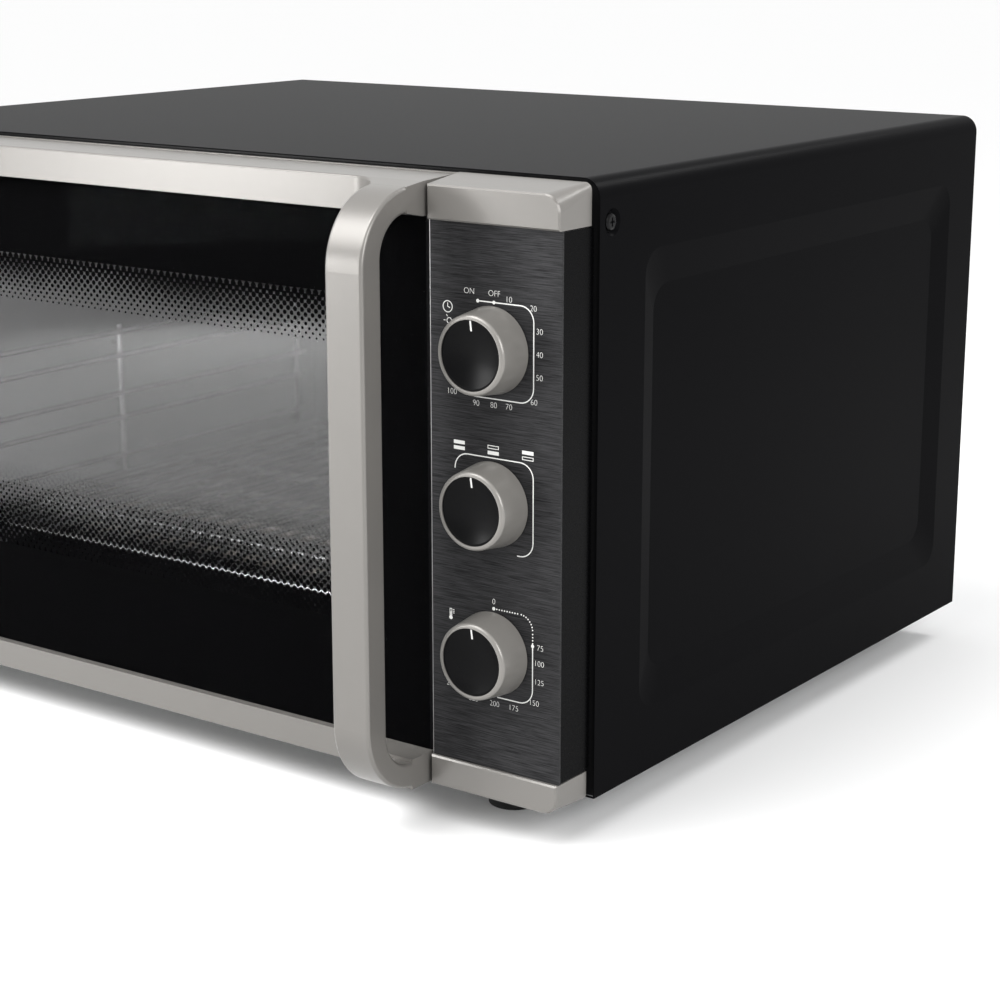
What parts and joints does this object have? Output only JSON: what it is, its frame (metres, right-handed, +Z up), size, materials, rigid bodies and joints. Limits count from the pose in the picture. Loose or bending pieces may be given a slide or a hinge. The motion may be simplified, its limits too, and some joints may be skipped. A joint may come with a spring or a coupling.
{
  "type": "electric countertop oven",
  "caption": "Box-shaped countertop oven with a glazed door hinged on the left, a handle strap flowing out of the door's rails and a column of control knobs on the right.",
  "frame": {"origin": "middle of the footprint (casing, handle and rear spacers) on the counter", "axes": "+Z up, -Y to the front where the door is, +X to the user's right"},
  "size_m": [0.58, 0.531, 0.348],
  "materials": {
    "casing_paint": "satin black stove enamel with a fine texture",
    "galvanised_steel": "dull zinc-coated sheet",
    "black_enamel": "gloss black enamel",
    "grey_enamel": "semi-gloss speckled grey enamel",
    "glass_wool": "matt wool",
    "black_rubber": "matt",
    "black_gloss_plastic": "gloss",
    "dark_brushed_plate": "dark, brushed level",
    "silver_plastic": "satin silver lacquer",
    "white_plastic": "moulded",
    "black_plastic": "moulded",
    "copper": "drawn",
    "bronze": "sintered",
    "element_steel": "heat-darkened",
    "ceramic": "unglazed",
    "chromed_wire": "polished",
    "clear_glass": "polished",
    "printed_glass": "polished, black print behind with a dotted window",
    "black_screw": "black oxide",
    "plated_steel": "zinc-plated"
  },
  "bodies": {
    "oven": {"outer_casing": "casing_paint", "rear_panel": "galvanised_steel", "bottom_plate": "galvanised_steel", "front_frame": "black_enamel", "cavity_liner": "grey_enamel", "insulation": "glass_wool", "heat_partition": "galvanised_steel", "cavity_seal": "black_rubber", "control_housing": "black_gloss_plastic", "control_plate": "dark_brushed_plate", "panel_cap_top": "silver_plastic", "panel_cap_bottom": "silver_plastic", "timer_unit": "white_plastic", "mode_switch": "white_plastic", "thermostat_unit": "white_plastic", "thermostat_probe": "copper", "upper_element": "element_steel", "lower_element": "element_steel", "element_terminals": "ceramic", "rack_guide_left": "chromed_wire", "rack_guide_right": "chromed_wire", "wire_rack": "chromed_wire", "drip_tray": "black_enamel", "lamp_holder": "ceramic", "lamp_glass": "clear_glass", "lamp_bulb": "clear_glass", "foot_front_left": "black_rubber", "foot_front_right": "black_rubber", "foot_rear_left": "black_rubber", "foot_rear_right": "black_rubber", "foot_screws": "plated_steel", "side_screws": "black_screw", "rear_screws": "plated_steel", "rear_spacers": "black_plastic", "cord_gland": "black_plastic", "terminal_block": "ceramic", "hinge_bracket_lower": "plated_steel", "hinge_bracket_upper": "plated_steel", "hinge_pins": "plated_steel", "magnet_catch": "black_plastic"},
    "door": {"door_frame": "black_enamel", "door_glass": "printed_glass", "inner_glass": "clear_glass", "glass_retainers": "galvanised_steel", "hinge_bushes": "bronze", "door_rail_top": "silver_plastic", "door_rail_bottom": "silver_plastic", "handle_strap": "silver_plastic", "handle_screws": "plated_steel", "catch_strike": "galvanised_steel"},
    "timer_dial": {"timer_knob": "silver_plastic", "timer_knob_disc": "black_gloss_plastic", "timer_knob_shaft": "plated_steel"},
    "mode_dial": {"mode_knob": "silver_plastic", "mode_knob_disc": "black_gloss_plastic", "mode_knob_shaft": "plated_steel"},
    "thermostat_dial": {"thermostat_knob": "silver_plastic", "thermostat_knob_disc": "black_gloss_plastic", "thermostat_knob_shaft": "plated_steel"}
  },
  "joints": [
    {"name": "door_hinge", "type": "hinge", "parent": "oven", "child": "door", "pos_m": [-0.281, -0.1965, 0.1825], "axis": [0, 0, -1], "range_deg": [0, 100]},
    {"name": "timer_turn", "type": "hinge", "parent": "oven", "child": "timer_dial", "pos_m": [0.2448, -0.213, 0.2618], "axis": [0, 1, 0], "range_deg": [-22, 228]},
    {"name": "mode_turn", "type": "hinge", "parent": "oven", "child": "mode_dial", "pos_m": [0.2448, -0.213, 0.1818], "axis": [0, 1, 0], "range_deg": [-40, 40]},
    {"name": "thermostat_turn", "type": "hinge", "parent": "oven", "child": "thermostat_dial", "pos_m": [0.2448, -0.213, 0.1018], "axis": [0, 1, 0], "range_deg": [0, 231]}
  ]
}
